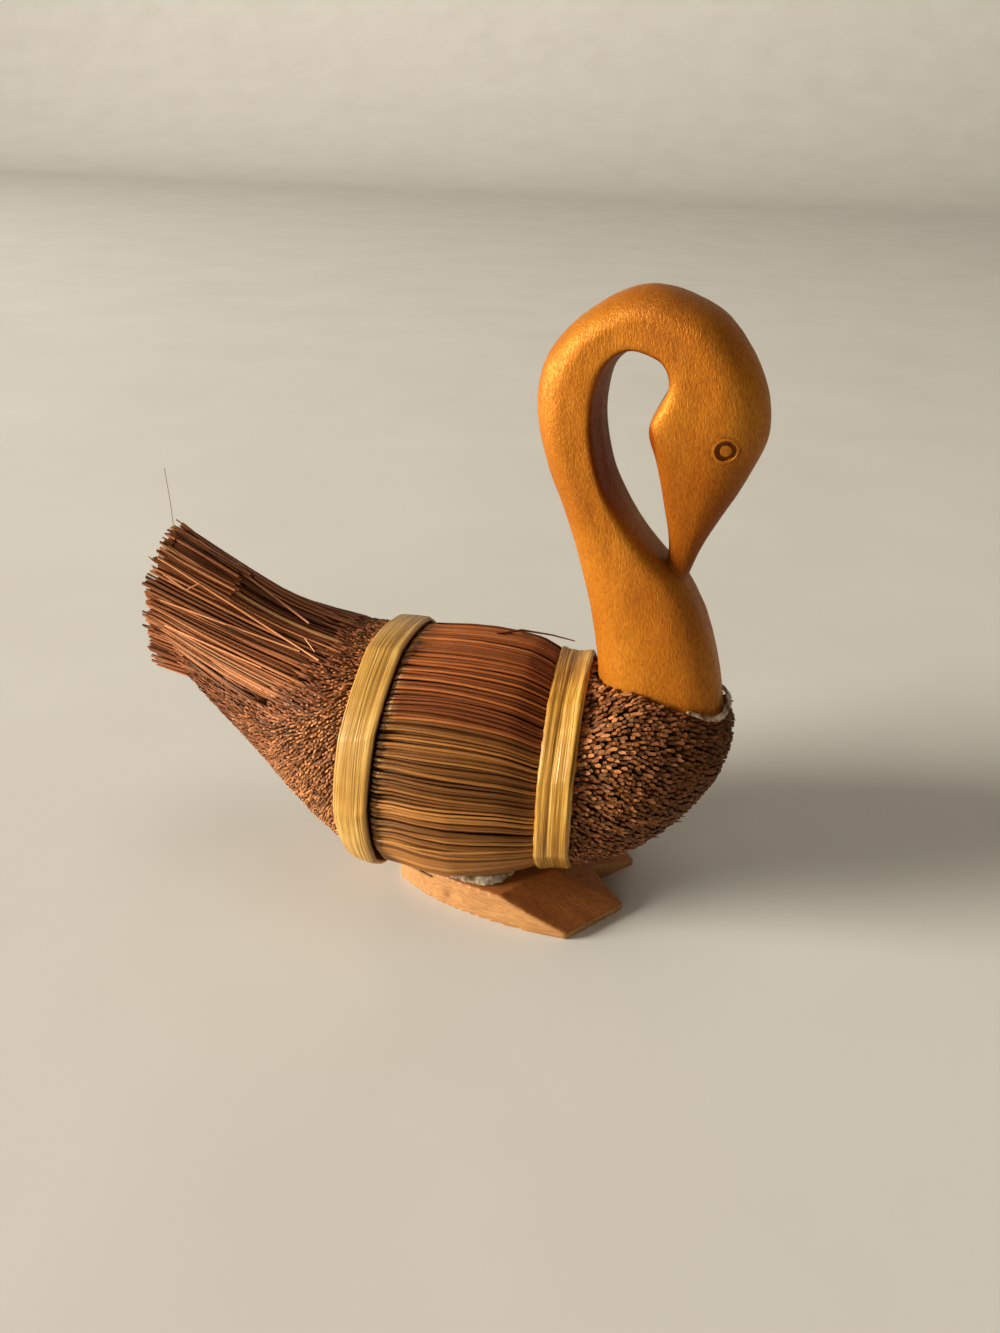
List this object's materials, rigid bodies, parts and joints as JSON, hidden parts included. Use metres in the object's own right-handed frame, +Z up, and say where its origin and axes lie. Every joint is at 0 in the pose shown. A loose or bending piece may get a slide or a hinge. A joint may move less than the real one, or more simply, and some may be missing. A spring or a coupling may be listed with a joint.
{
  "type": "swan figurine",
  "caption": "Swan ornament with a carved, stained wooden head and looped neck on a plump body of trimmed plant stalks bound by split-cane bands, standing on sawn wooden webbed feet.",
  "frame": {"origin": "middle of the flat underside of the feet, where the figurine stands", "axes": "+X forward towards the breast and beak, +Y to the swan's left, +Z up"},
  "size_m": [0.1456, 0.0646, 0.1496],
  "materials": {
    "stained_wood": "amber stain under a satin varnish, fine fibrous grain",
    "plant_stalks": "dry reddish-brown plant stalks, matt with a faint sheen along each stalk",
    "split_cane": "split cane, smooth and slightly glossy, ridged lengthwise",
    "bare_wood": "bare sawn beech, matt",
    "dried_glue": "dried off-white glue, cloudy and slightly glossy"
  },
  "bodies": {
    "root": {"head_and_neck": "stained_wood", "bristle_bundle": "plant_stalks", "rear_band": "split_cane", "front_band": "split_cane", "webbed_feet": "bare_wood", "foot_glue": "dried_glue", "neck_glue": "dried_glue"}
  },
  "joints": []
}
